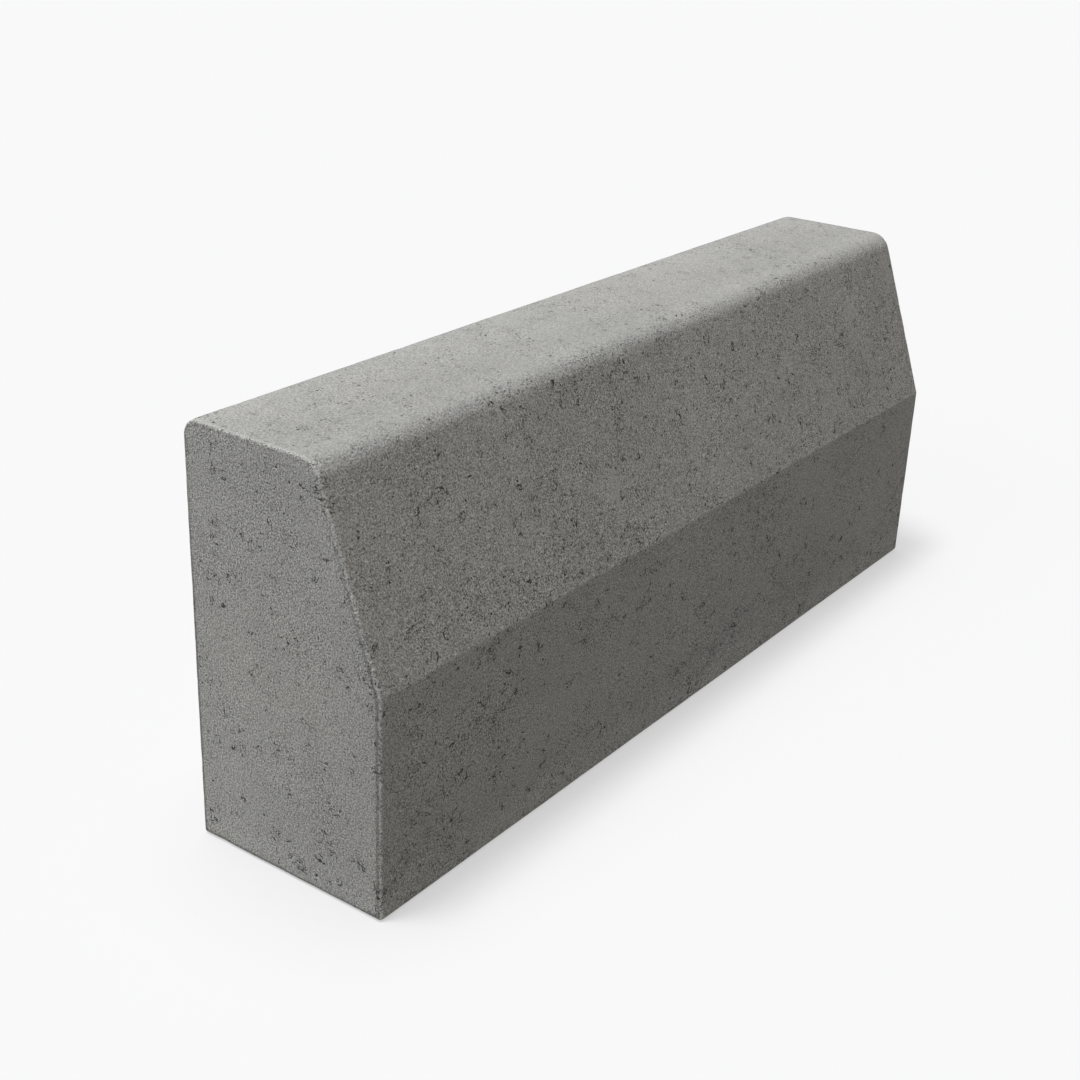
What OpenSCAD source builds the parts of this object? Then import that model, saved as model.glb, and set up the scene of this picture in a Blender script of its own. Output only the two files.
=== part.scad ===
// Precast concrete kerb stone, half-battered: flat bed, upright back, flat top with rounded edges,
// sloping upper front and upright lower front. One solid casting.
// X runs along the kerb, -Y is the road side, +Z is up. The origin is the middle of the bed.

/* [Overall] */
// Length along the kerb, end to end
kerb_length = 750; // [400:10:1200]
// Height from the bed to the top face
kerb_height = 300; // [240:5:400]
// Width of the bed, from the road face to the back face
base_width = 160; // [130:5:240]

/* [Section] */
// Width of the top, from the back face to where the batter would meet the top without rounding
top_width = 110; // [70:2:124]
// Height of the upright road face, from the bed to the knee below the batter
knee_height = 160; // [80:2:190]

/* [Edges] */
// Radius of the rounded edge between the batter and the top
front_edge_radius = 18; // [8:1:28]
// Radius of the rounded edge between the top and the back face
back_edge_radius = 12; // [8:1:28]
// Radius of the blunt knee between the upright road face and the batter
knee_radius = 6; // [3:1:30]
// Radius of the two long edges of the bed
bed_edge_radius = 3; // [1:0.5:8]
// Radius of the rubbed arris round each end face
end_arris_radius = 3; // [1:0.5:5]

/* [Hidden] */
$fn = 96;
// How far the cutters reach outside the concrete
over = 5;
// How far each rounding stands proud of touching its two faces, so that it ends on a clean line
proud = 0.001;
back_y = base_width / 2;
road_y = -base_width / 2;
// Section corners before rounding, anticlockwise seen from the +X end, as [y, z]
corners = [
    [back_y, 0],
    [back_y, kerb_height],
    [back_y - top_width, kerb_height],
    [road_y, knee_height],
    [road_y, 0]
];
// Radius at each of those corners
radii = [bed_edge_radius, back_edge_radius, front_edge_radius, knee_radius, bed_edge_radius];
count = len(corners);

function following(i) = (i + 1) % count;
function preceding(i) = (i + count - 1) % count;
// Unit direction along the side that leaves corner i, and its angle
function along(i) = (corners[following(i)] - corners[i]) / norm(corners[following(i)] - corners[i]);
function along_angle(i) = atan2(along(i)[1], along(i)[0]);
// Unit direction out of the concrete, square to the side that leaves corner i
function outward(i) = [along(i)[1], -along(i)[0]];
// How far the section turns at corner i
function turn(i) = acos(along(preceding(i)) * along(i));
// Distance from corner i to where its rounding starts and ends
function reach(i) = radii[i] * tan(turn(i) / 2);

// What is cut off corner i of the section, with the corner at [0, 0]
module corner_waste(i) {
    first = -along(preceding(i)) * reach(i);
    last = along(i) * reach(i);
    middle = first - outward(preceding(i)) * radii[i];
    out = (outward(preceding(i)) + outward(i)) / (1 + outward(preceding(i)) * outward(i));
    difference() {
        polygon([
            middle,
            first,
            first + outward(preceding(i)) * over,
            out * over,
            last + outward(i) * over,
            last
        ]);
        translate(middle + out * proud)
            circle(r = radii[i]);
    }
}

// Cross section with its five rounded corners
module section() {
    difference() {
        polygon(corners);
        for (i = [0 : count - 1])
            translate(corners[i])
                corner_waste(i);
    }
}

// What is cut off an arris that lies at [0, 0], with the concrete towards -x and -y
module arris_waste() {
    difference() {
        translate([-end_arris_radius, -end_arris_radius])
            square(end_arris_radius + over);
        translate([proud - end_arris_radius, proud - end_arris_radius])
            circle(r = end_arris_radius);
    }
}

// Cutters along the five arrises of an end face at z = 0. They run out into each other at the corners
module arris_cutters() {
    for (i = [0 : count - 1])
        translate([corners[following(i)][0], corners[following(i)][1], 0])
            rotate([90, 0, along_angle(i) - 90])
                translate([0, 0, -over])
                    linear_extrude(norm(corners[following(i)] - corners[i]) + 2 * over)
                        arris_waste();
}

module kerb() {
    color([0.55, 0.55, 0.53])
        rotate([90, 0, 90])
            difference() {
                translate([0, 0, -kerb_length / 2])
                    linear_extrude(kerb_length)
                        section();
                translate([0, 0, kerb_length / 2])
                    arris_cutters();
                translate([0, 0, -kerb_length / 2])
                    mirror([0, 0, 1])
                        arris_cutters();
            }
}

kerb();
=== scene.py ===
import math
import random

import bmesh
import bpy
import numpy as np
from mathutils import Matrix, Vector, noise


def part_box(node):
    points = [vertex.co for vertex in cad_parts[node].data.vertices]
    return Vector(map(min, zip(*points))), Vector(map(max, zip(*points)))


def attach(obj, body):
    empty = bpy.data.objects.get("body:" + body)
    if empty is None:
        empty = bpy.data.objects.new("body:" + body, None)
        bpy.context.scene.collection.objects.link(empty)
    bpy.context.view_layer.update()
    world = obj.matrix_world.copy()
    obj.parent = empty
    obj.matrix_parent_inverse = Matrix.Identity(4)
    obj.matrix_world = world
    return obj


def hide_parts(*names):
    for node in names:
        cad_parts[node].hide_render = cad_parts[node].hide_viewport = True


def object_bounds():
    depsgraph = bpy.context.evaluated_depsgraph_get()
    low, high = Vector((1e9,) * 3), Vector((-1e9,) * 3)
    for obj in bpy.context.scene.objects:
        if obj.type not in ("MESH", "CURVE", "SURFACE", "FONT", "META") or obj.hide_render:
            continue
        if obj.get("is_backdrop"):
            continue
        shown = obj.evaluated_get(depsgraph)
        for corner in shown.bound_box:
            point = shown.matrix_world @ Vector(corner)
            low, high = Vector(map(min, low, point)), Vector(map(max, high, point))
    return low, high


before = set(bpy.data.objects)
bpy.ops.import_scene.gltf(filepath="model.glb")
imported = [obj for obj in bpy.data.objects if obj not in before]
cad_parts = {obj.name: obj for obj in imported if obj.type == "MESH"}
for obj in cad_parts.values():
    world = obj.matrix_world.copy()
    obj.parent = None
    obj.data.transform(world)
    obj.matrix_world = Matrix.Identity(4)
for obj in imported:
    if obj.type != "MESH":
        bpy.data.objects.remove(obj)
cad_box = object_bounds()
lo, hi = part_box("kerb")
HEIGHT = hi.z - lo.z
BACK, ROAD = hi.y, lo.y
END = (hi.x - lo.x) / 2

# The stone's own measures, in metres
TOP_WIDTH = 0.110
KNEE = 0.160
BED_RADIUS = 0.0031
BACK_RADIUS = 0.012
FRONT_RADIUS = 0.018
KNEE_RADIUS = 0.006
ARRIS = 0.003

# Corners of the section before rounding: (y, z), radius, and the mesh's step along the side that follows
SECTION = (
    ((BACK, 0.0), BED_RADIUS, 0.0031),
    ((BACK, HEIGHT), BACK_RADIUS, 0.0031),
    ((BACK - TOP_WIDTH, HEIGHT), FRONT_RADIUS, 0.0029),
    ((ROAD, KNEE), KNEE_RADIUS, 0.0029),
    ((ROAD, 0.0), BED_RADIUS, 0.009),
)

# The mesh's other steps, in metres
ARC_STEP = 0.0011
LONG_STEP = 0.0033
END_STEP = 0.0013
END_ZONE = 0.014
ARRIS_STEPS = 5
END_SHELLS = 24
END_MIDDLE = np.array([(BACK + ROAD) / 2 + 0.012, HEIGHT * 0.47])
MIDDLE_ARRIS = -0.05  # stands for the distance from the arris at the middle of an end

# Open holes: how many, and the ranges that each one's size is drawn from
PITS = 420
PIT_TRIES = 4000
PIT_SEED = 20
PIT_SHARE = 0.22  # of the tried quads, before grouping
PIT_SHARE_TOP = 0.10
PIT_ALONE = 0.25  # how far the share falls outside the groups, and how far it rises inside
PIT_GROUPED = 3.0
PIT_GROUP = 0.045  # metres, the size of a group
PIT_QUAD = (0.0024, 0.009)  # metres, a quad's shortest and longest side
PIT_FLATNESS = 0.9995
PIT_ABOVE_BED = 0.006
PIT_RADIUS = (0.20, 0.40)  # as a share of the quad's shorter side
PIT_DEPTH = (0.8, 1.4)  # as a share of the radius
PIT_STRETCH = (0.65, 1.0)
PIT_WOBBLE = (0.82, 1.12)
PIT_FOOT = 0.72
PIT_FOOT_DEPTH = 0.7
RIM_POINTS = 8
RIM_SPREAD = 20  # degrees that two rim points lie to each side of a corner

# Depths of the relief, in metres
WAVE_DEPTH = 0.00030
RIPPLE_DEPTH = 0.00022
FINE_DEPTH = 0.00010
ARRIS_WEAR = 0.00018
ARRIS_CHIP = 0.00035
ARRIS_BREAK = 0.0018
EDGE_WEAR = 0.00012
EDGE_POCK = 0.0008
KNEE_WEAR = 0.0003


# ---------------------------------------------------------------- section and surface
def corner_arc(before, corner, after, radius):
    """Points and outward normals round one corner of the section."""
    to_before = (before - corner) / np.linalg.norm(before - corner)
    to_after = (after - corner) / np.linalg.norm(after - corner)
    half = math.acos(float(np.clip(to_before @ to_after, -1, 1))) / 2
    reach = radius / math.tan(half)
    inward = (to_before + to_after) / np.linalg.norm(to_before + to_after)
    centre = corner + inward * radius / math.sin(half)
    first = corner + to_before * reach - centre
    last = corner + to_after * reach - centre
    start = math.atan2(first[1], first[0])
    turn = (math.atan2(last[1], last[0]) - start + math.pi) % (2 * math.pi) - math.pi
    count = max(4, int(round(abs(turn) * radius / ARC_STEP)))
    angle = start + turn * np.arange(count + 1) / count
    normals = np.stack([np.cos(angle), np.sin(angle)], 1)
    return centre + radius * normals, normals


def rounded_section():
    """Outline of the cross-section: its points as (y, z) and their outward normals."""
    count = len(SECTION)
    corners = [np.array(corner) for corner, _, _ in SECTION]
    arcs = []
    for i, (_, radius, _) in enumerate(SECTION):
        arcs.append(corner_arc(corners[i - 1], corners[i], corners[(i + 1) % count], radius))
    points, normals = [], []
    for i, (arc, arc_normals) in enumerate(arcs):
        points.extend(arc)
        normals.extend(arc_normals)
        start = arc[-1]
        side = arcs[(i + 1) % count][0][0] - start
        pieces = max(1, int(round(np.linalg.norm(side) / SECTION[i][2])))
        for j in range(1, pieces):
            points.append(start + side * j / pieces)
            normals.append(arc_normals[-1])
    return np.array(points), np.array(normals)


def stations():
    """Positions along the stone between its arrises, closer together near the two ends."""
    core = END - ARRIS
    x = 0.0
    places = [x]
    while core - x > END_ZONE:
        x += LONG_STEP
        places.append(x)
    pieces = int(round((core - x) / END_STEP))
    places += [x + (core - x) * j / pieces for j in range(1, pieces + 1)]
    places = np.array(places)
    return np.concatenate([-places[:0:-1], places])


def ring_places():
    """Each ring round the stone as (x, how far it is round the arris in radians, which end or 0)."""
    turns = [math.pi / 2 * j / ARRIS_STEPS for j in range(1, ARRIS_STEPS + 1)]
    left = [(-(END - ARRIS + ARRIS * math.sin(turn)), turn, -1) for turn in reversed(turns)]
    straight = [(x, 0.0, 0) for x in stations()]
    right = [(END - ARRIS + ARRIS * math.sin(turn), turn, 1) for turn in turns]
    return left + straight + right


def with_x(x, yz):
    """Puts the same x before every (y, z)."""
    return np.column_stack([np.full(len(yz), x), yz])


class Skin:
    """Collects the surface: points, outward normals, signed distance from the end arris, and faces."""

    def __init__(self):
        self.points = []
        self.normals = []
        self.arris = []
        self.faces = []
        self.count = 0

    def add(self, points, normals, arris):
        """Adds one ring and returns the numbers of its points."""
        first = self.count
        self.points.append(points)
        self.normals.append(normals)
        self.arris.append(arris)
        self.count += len(points)
        return np.arange(first, self.count)


def add_sides(skin, section, normals):
    """The long faces and the rounded end arrises. Returns the first and the last ring."""
    size = len(section)
    rings = []
    for x, turn, end in ring_places():
        walk = ARRIS * (math.pi / 2 - turn)
        if end == 0:
            walk += END - ARRIS - abs(x)
        inset = ARRIS * (1 - math.cos(turn))
        ring_normals = with_x(end * math.sin(turn), normals * math.cos(turn))
        rings.append(skin.add(with_x(x, section - normals * inset), ring_normals, np.full(size, walk)))
    following = (np.arange(size) + 1) % size
    for here, there in zip(rings, rings[1:]):
        skin.faces.append(np.column_stack([here, there, there[following], here[following]]))
    return rings[0], rings[-1]


def add_end(skin, section, normals, side, ring):
    """One flat end, as rings drawn in from the arris to a middle point."""
    outer = section - normals * ARRIS
    size = len(section)
    following = (np.arange(size) + 1) % size
    turned = slice(None) if side > 0 else slice(None, None, -1)
    for shell in range(1, END_SHELLS):
        yz = END_MIDDLE + (outer - END_MIDDLE) * (1 - shell / END_SHELLS)
        to_arris = np.min(np.linalg.norm(yz[:, None, :] - outer[None, ::3, :], axis=2), axis=1)
        inner = skin.add(with_x(side * END, yz), np.tile([side, 0.0, 0.0], (size, 1)), -to_arris)
        quads = np.column_stack([ring, ring[following], inner[following], inner])
        skin.faces.append(quads[:, turned])
        ring = inner
    middle = skin.add(
        np.array([[side * END, END_MIDDLE[0], END_MIDDLE[1]]]),
        np.array([[side, 0.0, 0.0]]),
        np.array([MIDDLE_ARRIS]),
    )
    fan = np.column_stack([ring, ring[following], np.full(size, middle[0])])
    skin.faces.append(fan[:, turned])


# ---------------------------------------------------------------- open holes
def pit_places(rng, points, normals, quads):
    """Picks the quads that get a hole, grouped and fewer on the top. Also gives every quad's width."""
    corners = points[quads]
    side_a = np.linalg.norm(corners[:, 1] - corners[:, 0], axis=1)
    side_b = np.linalg.norm(corners[:, 2] - corners[:, 1], axis=1)
    width = np.minimum(side_a, side_b)
    middle = corners.mean(1)
    flat = np.linalg.norm(normals[quads].mean(1), axis=1) > PIT_FLATNESS
    above_bed = middle[:, 2] > PIT_ABOVE_BED
    fit = flat & above_bed & (width > PIT_QUAD[0]) & (np.maximum(side_a, side_b) < PIT_QUAD[1])
    chosen, taken = [], set()
    for i in rng.sample([int(i) for i in np.flatnonzero(fit)], PIT_TRIES):
        group = noise.noise(Vector(middle[i]) / PIT_GROUP + Vector((9.1, 4.3, 7.7)))
        share = PIT_SHARE if normals[quads[i][0]][2] < 0.8 else PIT_SHARE_TOP
        if rng.random() > share * (PIT_ALONE + PIT_GROUPED * max(0.0, group)):
            continue
        if taken & set(quads[i].tolist()):
            continue
        taken |= set(quads[i].tolist())
        chosen.append(i)
        if len(chosen) >= PITS:
            break
    return chosen, width


def pit_points(rng, corners, normal, width):
    """A hole's points: a rim point and a foot point in turn all the way round, then the bottom."""
    centre = corners.mean(0)
    across = corners[0] + corners[1] - corners[2] - corners[3]
    across -= normal * (across @ normal)
    across /= np.linalg.norm(across)
    along = np.cross(normal, across)
    if along @ (corners[1] + corners[2] - corners[0] - corners[3]) < 0:
        along = -along
    radius = width * rng.uniform(*PIT_RADIUS)
    depth = radius * rng.uniform(*PIT_DEPTH)
    stretch = rng.uniform(*PIT_STRETCH)
    lean = rng.uniform(0, math.pi)
    points = []
    for j in range(RIM_POINTS):
        spread = -RIM_SPREAD if j % 2 == 0 else RIM_SPREAD
        turn = math.radians(-45 + 90 * (j // 2) + spread)
        wobble = rng.uniform(*PIT_WOBBLE) * (1 - (1 - stretch) * abs(math.sin(turn - lean)))
        spoke = (across * math.cos(turn) + along * math.sin(turn)) * radius * wobble
        points.append(centre + spoke)
        points.append(centre + spoke * PIT_FOOT - normal * depth * PIT_FOOT_DEPTH)
    points.append(centre - normal * depth)
    return points


def pit_faces(corners, first):
    """Faces of a hole between its quad's corners and the points that start at number first."""
    rim = [first + 2 * j for j in range(RIM_POINTS)]
    foot = [number + 1 for number in rim]
    bottom = first + 2 * RIM_POINTS
    faces = []
    for j in range(4):
        here, there, beyond = rim[2 * j], rim[2 * j + 1], rim[(2 * j + 2) % RIM_POINTS]
        faces.append((corners[j], there, here))
        faces.append((corners[j], corners[(j + 1) % 4], beyond, there))
    for j in range(RIM_POINTS):
        k = (j + 1) % RIM_POINTS
        faces.append((rim[j], rim[k], foot[k], foot[j]))
        faces.append((foot[j], foot[k], bottom))
    return faces


def sink_pits(points, normals, arris, faces):
    """Replaces some quads by open holes. Also gives each point's mark: 1 inside a hole, else 0."""
    rng = random.Random(PIT_SEED)
    quads = np.concatenate([block for block in faces if block.shape[1] == 4])
    out = [tuple(row.tolist()) for block in faces if block.shape[1] == 3 for row in block]
    chosen, width = pit_places(rng, points, normals, quads)
    holes = set(chosen)
    out += [tuple(row.tolist()) for i, row in enumerate(quads) if i not in holes]
    new_points, new_normals, new_arris = [], [], []
    for i in chosen:
        corners = quads[i].tolist()
        normal = normals[corners].mean(0)
        normal /= np.linalg.norm(normal)
        out += pit_faces(corners, len(points) + len(new_points))
        hole = pit_points(rng, points[corners], normal, width[i])
        new_points += hole
        new_normals += [normal] * len(hole)
        new_arris += [arris[corners].mean()] * len(hole)
    hole_mark = [0.0, 1.0] * RIM_POINTS + [1.0]
    mark = np.concatenate([np.zeros(len(points)), np.tile(hole_mark, len(chosen))])
    points = np.vstack([points, new_points])
    normals = np.vstack([normals, new_normals])
    return points, normals, np.concatenate([arris, new_arris]), mark, out


# ---------------------------------------------------------------- relief
def field(points, size, seed):
    """Smooth noise in about -1..1 at the given feature size, one value a point."""
    offset = Vector((seed * 3.17, seed * 1.31, seed * 2.09))
    return np.array([noise.noise(Vector(point) / size + offset) for point in points])


def distance(points, corner):
    """How far each point lies from a corner of the section, seen along the stone."""
    return np.hypot(points[:, 1] - corner[0], points[:, 2] - corner[1])


def hump(value, width):
    """A smooth bell of height 1 round zero."""
    return np.exp(-(value / width) ** 2)


def relief(points, arris):
    """How far each point goes in: slow unevenness, chipped arrises, pocked top edges and a worn knee."""
    to_front = distance(points, (BACK - TOP_WIDTH, HEIGHT))
    to_back = distance(points, (BACK, HEIGHT))
    wave = 0.5 + 0.5 * field(points, 0.16, 1)
    ripple = 0.5 + 0.5 * field(points, 0.045, 2)
    fine = 0.5 + 0.5 * field(points, 0.011, 3)
    inward = WAVE_DEPTH * wave + RIPPLE_DEPTH * ripple + FINE_DEPTH * fine
    near_arris = hump(np.abs(arris - 0.0024), 0.0036)
    bite = field(points, 0.014, 4) + 0.5 * field(points, 0.006, 5)
    chips = ARRIS_WEAR + ARRIS_CHIP * np.clip(bite, 0, 1) + ARRIS_BREAK * np.clip(bite - 0.66, 0, 1)
    inward += near_arris * chips
    near_top_edge = hump(to_front, 0.016) + 0.8 * hump(to_back, 0.012)
    pock = np.clip(field(points, 0.007, 6) - 0.25, 0, 1)
    inward += np.where(arris < 0, 0, near_top_edge) * (EDGE_WEAR + EDGE_POCK * pock)
    worn = np.clip(field(points, 0.010, 7), 0, 1)
    inward += hump(distance(points, (ROAD, KNEE)), 0.006) * KNEE_WEAR * worn
    return inward


def add_attributes(mesh, points, normals, arris, pit):
    """Writes what the material reads at each point. The points are those before the relief."""
    on_end = arris < 0
    to_front = distance(points, (BACK - TOP_WIDTH, HEIGHT))
    to_knee = distance(points, (ROAD, KNEE))
    is_batter = (normals[:, 1] < -0.6) * (points[:, 2] > KNEE)
    values = {
        "arris": arris * 1000,  # millimetres, negative on the ends
        "pit": pit,
        "top": np.clip((normals[:, 2] - 0.75) / 0.2, 0, 1) * (points[:, 2] > 0.2),
        "front_edge": np.where(on_end, 0, hump(np.maximum(to_front - 0.005, 0), 0.010)),
        "knee": np.where(on_end, 0, hump(to_knee, 0.0022)),
        "batter": is_batter.astype(float),
        "end": on_end.astype(float),
        "front": np.where(on_end, 0, np.clip((-normals[:, 1] - 0.75) / 0.19, 0, 1)),
    }
    for name, numbers in values.items():
        attribute = mesh.attributes.new(name, "FLOAT", "POINT")
        attribute.data.foreach_set("value", np.asarray(numbers, np.float32))


def build_mesh():
    """The stone's whole mesh, closed, inside the solid from the frame."""
    section, section_normals = rounded_section()
    skin = Skin()
    first, last = add_sides(skin, section, section_normals)
    add_end(skin, section, section_normals, -1, first)
    add_end(skin, section, section_normals, 1, last)
    points, normals, arris, pit, faces = sink_pits(
        np.concatenate(skin.points), np.concatenate(skin.normals), np.concatenate(skin.arris), skin.faces)
    worn = points - normals * relief(points, arris)[:, None]
    worn[:, 2] = np.maximum(worn[:, 2], 0.0)

    mesh = bpy.data.meshes.new("kerb_stone")
    mesh.from_pydata([tuple(point) for point in worn], [], faces)
    bm = bmesh.new()
    bm.from_mesh(mesh)
    bmesh.ops.recalc_face_normals(bm, faces=bm.faces)
    bm.to_mesh(mesh)
    bm.free()
    mesh.update()
    mesh.polygons.foreach_set("use_smooth", [True] * len(mesh.polygons))
    add_attributes(mesh, points, normals, arris, pit)
    return mesh


# ---------------------------------------------------------------- material
# Strength of each part of the tone. The stone's tone is about 1
BROAD_TONE = 0.22
CLOUD_TONE = 0.20
MIDDLE_TONE = 0.13
SAND_TONE = 3.9
GRAIN_TONE = 0.18
PATCH_TONE = 0.07
# Pits are darkened as painted shade in their hollows
PIT_TONE = 0.88
MARK_TONE = 0.85
SPOT_TONE = 0.05
# The next four are painted light: highlights along the end arrises, the top's end arrises and the knee, and
# a strip of painted shade where each end meets its arris
CREST_TONE = 0.28
SHINE_TONE = 0.16
KNEE_TONE = 0.10
STRIP_TONE = 0.38
LOWEST_TONE = 0.06

# Tones by face, which stand in for the photo's shading
PLAIN_FACE = 0.965
FRONT_FACE = -0.075
BATTER_FACE = -0.040
TOP_FACE = 0.11
END_FACE = 0.12
FOOT_FACE = 0.22
FOOT_FACE_END = -0.10
EDGE_FACE = 0.055

# Heights of the bump, in metres
SAND_HEIGHT = 0.0013
GRIT_HEIGHT = 0.0002
MIDDLE_HEIGHT = 0.0007
PIT_HEIGHT = -0.0008
MARK_HEIGHT = -0.0003

PLAIN_COLOUR = (0.187, 0.1868, 0.1785, 1)
FRONT_COLOUR = (0.190, 0.1845, 0.1685, 1)


class Nodes:
    """Short hand for building a node tree."""

    def __init__(self, tree):
        self.tree = tree
        self.tree.nodes.clear()

    def add(self, kind, inputs, **props):
        """A node with its properties set, and with its inputs linked or set."""
        node = self.tree.nodes.new(kind)
        for name, value in props.items():
            setattr(node, name, value)
        for socket, value in inputs.items():
            if isinstance(value, bpy.types.NodeSocket):
                self.tree.links.new(value, node.inputs[socket])
            else:
                node.inputs[socket].default_value = value
        return node

    def math(self, operation, *values, clamp=False):
        inputs = dict(enumerate(values))
        return self.add("ShaderNodeMath", inputs, operation=operation, use_clamp=clamp).outputs[0]

    def times(self, a, b):
        return self.math("MULTIPLY", a, b)

    def rest(self, value):
        """1 - value"""
        return self.math("SUBTRACT", 1.0, value)

    def scaled(self, value, amount, onto):
        """value * amount + onto"""
        return self.math("MULTIPLY_ADD", value, amount, onto)

    def swing(self, value, amount, onto):
        """(value - 0.5) * amount + onto"""
        return self.scaled(self.math("SUBTRACT", value, 0.5), amount, onto)

    def ridge(self, value):
        """How far the value is from 0.5"""
        return self.math("ABSOLUTE", self.math("SUBTRACT", value, 0.5))

    def attribute(self, name):
        return self.add("ShaderNodeAttribute", {}, attribute_name=name).outputs["Fac"]

    def axes(self, vector):
        return self.add("ShaderNodeSeparateXYZ", {0: vector}).outputs

    def channel(self, colour, number):
        return self.add("ShaderNodeSeparateColor", {0: colour}).outputs[number]

    def vector(self, operation, *values):
        return self.add("ShaderNodeVectorMath", dict(enumerate(values)), operation=operation).outputs[0]

    def noise(self, place, scale, detail=2.0, rough=0.5, distortion=0.0):
        inputs = {"Vector": place, "Scale": scale, "Detail": detail, "Roughness": rough}
        inputs["Distortion"] = distortion
        return self.add("ShaderNodeTexNoise", inputs, noise_dimensions="3D").outputs["Fac"]

    def cells(self, place, scale):
        inputs = {"Vector": place, "Scale": scale, "Randomness": 1.0}
        return self.add("ShaderNodeTexVoronoi", inputs, feature="F1").outputs

    def ramp(self, value, start, end, low=0.0, high=1.0):
        """Maps start..end smoothly to low..high, held outside."""
        inputs = {"Value": value, "From Min": start, "From Max": end, "To Min": low, "To Max": high}
        node = self.add("ShaderNodeMapRange", inputs, interpolation_type="SMOOTHSTEP", clamp=True)
        return node.outputs["Result"]

    def band(self, value, rise, fall):
        """1 between two ramps, 0 outside."""
        return self.times(self.ramp(value, *rise), self.rest(self.ramp(value, *fall)))


class Concrete(Nodes):
    """The concrete's node tree, with the masks and the noises that several of its parts use."""

    def __init__(self, tree):
        super().__init__(tree)
        own = self.add("ShaderNodeTexCoord", {}).outputs["Object"]
        self.place = self.vector("ADD", own, (3.7, 5.1, 2.3))
        self.crack_place = self.vector("ADD", own, (1.9, 8.4, 6.6))
        self.across, self.up = self.axes(own)[1:3]
        self.top = self.attribute("top")
        self.batter = self.attribute("batter")
        self.edge = self.attribute("front_edge")
        self.knee = self.attribute("knee")
        self.arris = self.attribute("arris")
        self.end = self.attribute("end")
        self.front = self.attribute("front")
        self.cloud = self.noise(self.place, 22.0, 2.0, 0.5, 0.3)
        self.middle = self.noise(self.place, 60.0, 3.0, 0.6)
        self.sand = self.noise(self.place, 830.0, 2.0, 0.7)
        self.cluster = self.ramp(self.noise(self.place, 19.0, 3.0, 0.6, 0.5), 0.44, 0.66)
        patches = self.ramp(self.noise(self.place, 26.0, 1.5, 0.5, 0.4), 0.60, 0.72)
        self.patch = self.times(patches, self.batter)
        # The shine is a painted highlight along the end arrises of the top
        self.shine = self.times(self.band(self.arris, (1.6, 2.4), (3.8, 4.8)), self.top)
        self.calm = self.calmness()
        self.pits = self.pit_mask()
        self.marks = self.mark_mask()

    def calmness(self):
        """How strong the grain is: less on the top, in the patches, on the front edge and in the shine."""
        calm = self.rest(self.times(self.top, 0.45))
        calm = self.times(calm, self.scaled(self.patch, -0.40, 1.0))
        calm = self.times(calm, self.scaled(self.edge, -0.15, 1.0))
        return self.times(calm, self.scaled(self.shine, -0.55, 1.0))

    def pit_layer(self, place, scale, number, size, gate):
        """Round spots in some of the cells, in more of them where the clusters are."""
        cells = self.cells(place, scale)
        spot = self.rest(self.ramp(cells["Distance"], *size))
        pick = self.scaled(self.cluster, 0.30, self.channel(cells["Color"], number))
        return self.times(spot, self.ramp(pick, *gate))

    def pit_mask(self):
        """Large and small pits, fainter on the ends and near them, together with the holes in the mesh."""
        swirl = self.add("ShaderNodeTexNoise", {"Vector": self.place, "Scale": 260.0}).outputs["Color"]
        place = self.vector("MULTIPLY_ADD", swirl, (0.0040, 0.0040, 0.0040), self.place)
        large = self.pit_layer(place, 120.0, 0, (0.085, 0.14), (1.02, 1.05))
        small = self.pit_layer(place, 300.0, 1, (0.16, 0.28), (0.99, 1.02))
        large = self.times(large, self.scaled(self.end, -0.5, 1.0))
        small = self.times(small, self.scaled(self.end, -0.3, 0.8))
        pits = self.times(self.math("MAXIMUM", large, small), self.ramp(self.arris, 1.0, 9.0, 0.35, 1.0))
        return self.math("MAXIMUM", pits, self.attribute("pit"))

    def mark_mask(self):
        """Short branching marks in groups, and thin cracks, both weaker on the top."""
        ridge = self.ridge(self.noise(self.place, 150.0, 1.5, 0.55, 0.9))
        line = self.ramp(ridge, 0.010, 0.021, 1.0, 0.0)
        short = self.ramp(self.noise(self.place, 85.0, 1.5, 0.5), 0.587, 0.616)
        group = self.ramp(self.noise(self.place, 21.0, 2.0, 0.6), 0.43, 0.50)
        marks = self.times(self.times(line, short), group)
        ridge = self.ridge(self.noise(self.crack_place, 75.0, 2.5, 0.6, 0.8))
        crack = self.ramp(ridge, 0.006, 0.013, 1.0, 0.0)
        short = self.ramp(self.noise(self.crack_place, 62.0, 1.0, 0.5), 0.598, 0.622)
        marks = self.math("MAXIMUM", marks, self.times(crack, short))
        return self.times(marks, self.rest(self.times(self.top, 0.45)))

    def grain(self):
        """Sand, single grains and dark veins between them."""
        grain_tone = self.channel(self.cells(self.place, 460.0)["Color"], 0)
        ridge = self.ridge(self.noise(self.place, 300.0, 1.0, 0.5))
        vein = self.ramp(ridge, 0.012, 0.030, 1.0, 0.0)
        vein = self.times(vein, self.ramp(self.noise(self.place, 210.0, 2.0, 0.6), 0.545, 0.585))
        grain = self.times(self.math("SUBTRACT", self.sand, 0.5), SAND_TONE)
        grain = self.swing(grain_tone, GRAIN_TONE, grain)
        grain = self.scaled(vein, self.scaled(self.cluster, -0.46, -0.14), grain)
        return self.times(grain, self.scaled(self.cluster, 0.20, 0.92))

    def pattern(self):
        """Broad, middle and fine changes of tone."""
        tone = self.swing(self.noise(self.place, 7.0, 3.0, 0.55), BROAD_TONE, 1.0)
        tone = self.swing(self.cloud, CLOUD_TONE, tone)
        tone = self.swing(self.middle, MIDDLE_TONE, tone)
        tone = self.scaled(self.grain(), self.calm, tone)
        return self.scaled(self.patch, PATCH_TONE, tone)

    def darkened(self, tone, mask, amount):
        return self.times(tone, self.rest(self.times(mask, amount)))

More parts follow.
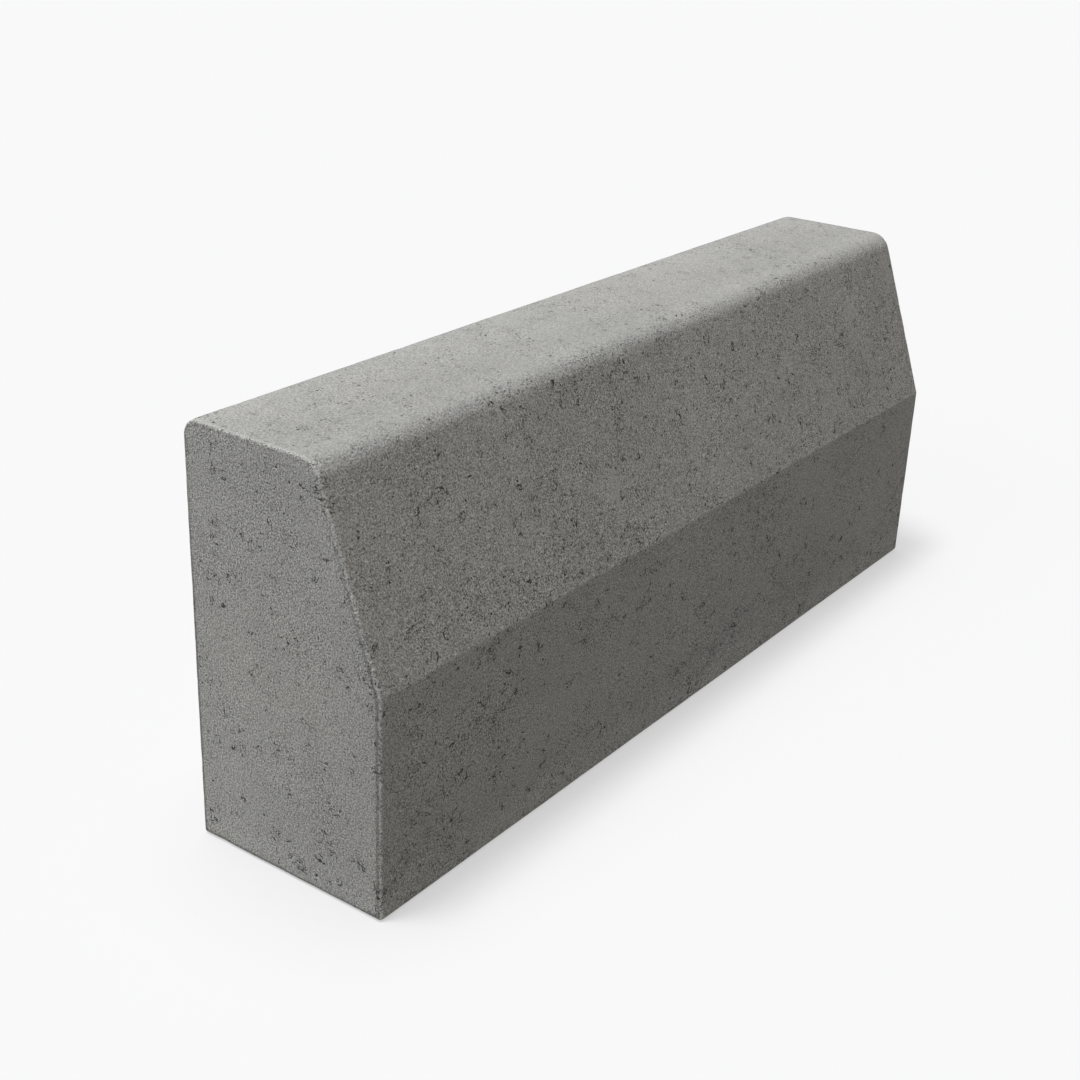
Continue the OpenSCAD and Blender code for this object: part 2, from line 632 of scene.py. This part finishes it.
    def wear_highlight_and_shade_lines(self, tone):
        """Pale lines along the end arrises and the knee, painted highlight with a share of edge wear, and a
        dark strip of painted shade where each end meets its arris.
        """
        line_breakup = self.ramp(self.noise(self.place, 85.0, 3.0, 0.6), 0.35, 0.62)
        # Painted highlight along the end arrises, partly edge wear, kept off the top
        crest = self.times(self.band(self.arris, (1.4, 2.4), (3.3, 5.2)), self.rest(self.top))
        # Painted shade: a dark strip where each end meets its arris, weaker towards the top
        strip = self.band(self.arris, (-2.0, -0.8), (0.7, 1.7))
        strip = self.times(strip, self.ramp(self.up, 0.292, 0.150, 0.25, 1.0))
        lift = self.scaled(self.times(crest, line_breakup), CREST_TONE, 1.0)
        lift = self.scaled(self.shine, SHINE_TONE, lift)
        # Painted highlight along the knee
        lift = self.scaled(self.times(self.knee, line_breakup), KNEE_TONE, lift)
        return self.darkened(self.times(tone, lift), strip, STRIP_TONE)

    def face_tone(self):
        """Painted light and shade by face: the road face and batter darker, top and ends lighter towards the
        back, the foot and the front edge lighter, the foot less so on the ends.
        """
        tone = self.scaled(self.front, FRONT_FACE, PLAIN_FACE)
        tone = self.scaled(self.batter, BATTER_FACE, tone)
        back_of_top = self.times(self.top, self.ramp(self.across, -0.01, 0.075, -0.22, 0.90))
        tone = self.scaled(back_of_top, TOP_FACE, tone)
        back_of_end = self.times(self.end, self.ramp(self.across, -0.07, 0.075))
        tone = self.scaled(back_of_end, END_FACE, tone)
        foot = self.ramp(self.swing(self.cloud, 0.03, self.up), 0.034, 0.004)
        tone = self.scaled(foot, self.scaled(self.end, FOOT_FACE_END, FOOT_FACE), tone)
        return self.scaled(self.edge, EDGE_FACE, tone)

    def tone(self):
        """The whole tone, which the base colour is multiplied by."""
        # The pits are darkened: painted shade in their hollows
        tone = self.darkened(self.pattern(), self.pits, PIT_TONE)
        tone = self.darkened(tone, self.marks, MARK_TONE)
        spots = self.ramp(self.noise(self.place, 210.0, 3.0, 0.7), 0.50, 0.72)
        tone = self.darkened(tone, self.times(spots, self.edge), SPOT_TONE)
        tone = self.math("MAXIMUM", self.wear_highlight_and_shade_lines(tone), LOWEST_TONE)
        return self.times(tone, self.face_tone())

    def colour(self):
        """The base colour: the road side slightly warmer, times the tone."""
        drift = self.math("SUBTRACT", self.noise(self.place, 11.0, 2.0, 0.5), 0.5)
        warm = self.math("MULTIPLY_ADD", drift, 1.2, self.front, clamp=True)
        inputs = {0: warm, 6: PLAIN_COLOUR, 7: FRONT_COLOUR}
        colour = self.add("ShaderNodeMix", inputs, data_type="RGBA").outputs[2]
        tone = self.tone()
        grey = self.add("ShaderNodeCombineXYZ", {0: tone, 1: tone, 2: tone}).outputs[0]
        return self.vector("MULTIPLY", colour, grey)

    def bump(self):
        """Sand, grit, slow unevenness, pits and marks as bump."""
        grit = self.noise(self.place, 250.0, 2.0, 0.6)
        height = self.times(self.math("SUBTRACT", self.sand, 0.5), SAND_HEIGHT)
        height = self.times(self.swing(grit, GRIT_HEIGHT, height), self.calm)
        height = self.swing(self.middle, MIDDLE_HEIGHT, height)
        height = self.scaled(self.pits, PIT_HEIGHT, height)
        height = self.scaled(self.marks, MARK_HEIGHT, height)
        inputs = {"Strength": 1.0, "Distance": 1.0, "Height": height}
        return self.add("ShaderNodeBump", inputs).outputs[0]


def concrete():
    """Bare grey concrete: matt, sandy, with pits and short marks."""
    material = bpy.data.materials.new("concrete")
    material.use_nodes = True
    nodes = Concrete(material.node_tree)
    shader = nodes.add("ShaderNodeBsdfPrincipled", {
        "Base Color": nodes.colour(),
        "Roughness": nodes.ramp(nodes.middle, 0.2, 0.8, 0.86, 0.97),
        "Normal": nodes.bump(),
        "Specular IOR Level": 0.3,
    })
    nodes.add("ShaderNodeOutputMaterial", {"Surface": shader.outputs[0]})
    return material


# ---------------------------------------------------------------- floor, light and camera
FLOOR_REACH = 60.0
PAPER_COLOUR = (0.183, 0.183, 0.184, 1)
PAPER_GLOW = 0.514
KEY_STRENGTH = 1.07 * math.pi
OVERHEAD_STRENGTH = 1.08 * math.pi

CAMERA_PLACE = Vector((-1.0137, -0.6445, 0.648))  # from the middle of the bed
CAMERA_AZIMUTH = -0.953
CAMERA_ELEVATION = 0.421
CAMERA_ROLL = 0.04
CAMERA_LENS = 55.13


def link(thing):
    """Puts an object into the scene."""
    bpy.context.scene.collection.objects.link(thing)


def paper():
    """Matt pale paper with a glow of its own, which keeps the contact shadow light."""
    material = bpy.data.materials.new("paper")
    material.use_nodes = True
    inputs = material.node_tree.nodes["Principled BSDF"].inputs
    inputs["Base Color"].default_value = PAPER_COLOUR
    inputs["Roughness"].default_value = 1.0
    inputs["Specular IOR Level"].default_value = 0.0
    inputs["Emission Color"].default_value = (1.0, 1.0, 1.0, 1)
    inputs["Emission Strength"].default_value = PAPER_GLOW
    return material


def add_floor():
    """A large flat floor that the stone stands on."""
    mesh = bpy.data.meshes.new("floor")
    corners = [(x * FLOOR_REACH, y * FLOOR_REACH, 0) for x, y in ((-1, -1), (1, -1), (1, 1), (-1, 1))]
    mesh.from_pydata(corners, [], [(0, 1, 2, 3)])
    mesh.materials.append(paper())
    floor = bpy.data.objects.new("floor", mesh)
    link(floor)
    floor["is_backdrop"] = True


def add_sun(name, toward, angle, strength):
    """A sun that shines from the given direction, with its angular size in degrees."""
    light = bpy.data.lights.new(name, "SUN")
    light.energy = strength
    light.angle = math.radians(angle)
    lamp = bpy.data.objects.new(name, light)
    lamp.rotation_euler = Vector(toward).to_track_quat("Z", "Y").to_euler()
    link(lamp)


def add_world():
    """A dim studio with a pale band above the horizon and a bright left side."""
    world = bpy.data.worlds.new("studio")
    bpy.context.scene.world = world
    world.use_nodes = True
    nodes = Nodes(world.node_tree)
    way = nodes.axes(nodes.add("ShaderNodeTexCoord", {}).outputs["Generated"])
    left = nodes.times(nodes.ramp(way[0], -0.35, -0.95), nodes.ramp(way[2], 0.04, 0.14, 0.0, 1.80))
    strength = nodes.math("MAXIMUM", nodes.ramp(way[2], 0.08, 0.24, 0.94, 0.03), left)
    light = nodes.add("ShaderNodeBackground", {"Color": (1, 1, 1, 1), "Strength": strength})
    nodes.add("ShaderNodeOutputWorld", {"Surface": light.outputs[0]})


def add_camera():
    """The photo's camera, as the fit to its edges found it."""
    lens = bpy.data.cameras.new("camera")
    lens.sensor_width = 36.0
    lens.sensor_fit = "HORIZONTAL"
    lens.lens = CAMERA_LENS
    camera = bpy.data.objects.new("camera", lens)
    forward = Vector((
        -math.sin(CAMERA_AZIMUTH) * math.cos(CAMERA_ELEVATION),
        math.cos(CAMERA_AZIMUTH) * math.cos(CAMERA_ELEVATION),
        -math.sin(CAMERA_ELEVATION),
    ))
    right = forward.cross(Vector((0, 0, 1))).normalized()
    upward = right.cross(forward)
    rolled_right = right * math.cos(CAMERA_ROLL) + upward * math.sin(CAMERA_ROLL)
    rolled_up = upward * math.cos(CAMERA_ROLL) - right * math.sin(CAMERA_ROLL)
    turn = Matrix((rolled_right, rolled_up, -forward)).transposed().to_4x4()
    bed = Vector(((lo.x + hi.x) / 2, (lo.y + hi.y) / 2, lo.z))
    camera.matrix_world = Matrix.Translation(bed + CAMERA_PLACE) @ turn
    link(camera)
    bpy.context.scene.camera = camera


def set_view():
    """Plain colours, with no film look."""
    view = bpy.context.scene.view_settings
    view.view_transform = "Standard"
    view.look = "None"
    view.exposure = 0.0
    view.gamma = 1.0


def plain(value):
    """Turns vectors and nested lists into plain lists."""
    if isinstance(value, (int, float, str)) or value is None:
        return value
    return [plain(v) for v in value]


# ---------------------------------------------------------------- the scene
stone = bpy.data.objects.new("kerb_stone", build_mesh())
link(stone)
stone.data.materials.append(concrete())
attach(stone, "root")
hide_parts("kerb")

add_floor()
add_sun("key", (-0.21, 0.150, 1.0), 14, KEY_STRENGTH)
add_sun("overhead", (0.0, 0.10, 1.0), 40, OVERHEAD_STRENGTH)
add_world()
add_camera()
set_view()

{"cad": plain(cad_box), "now": plain(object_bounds())}
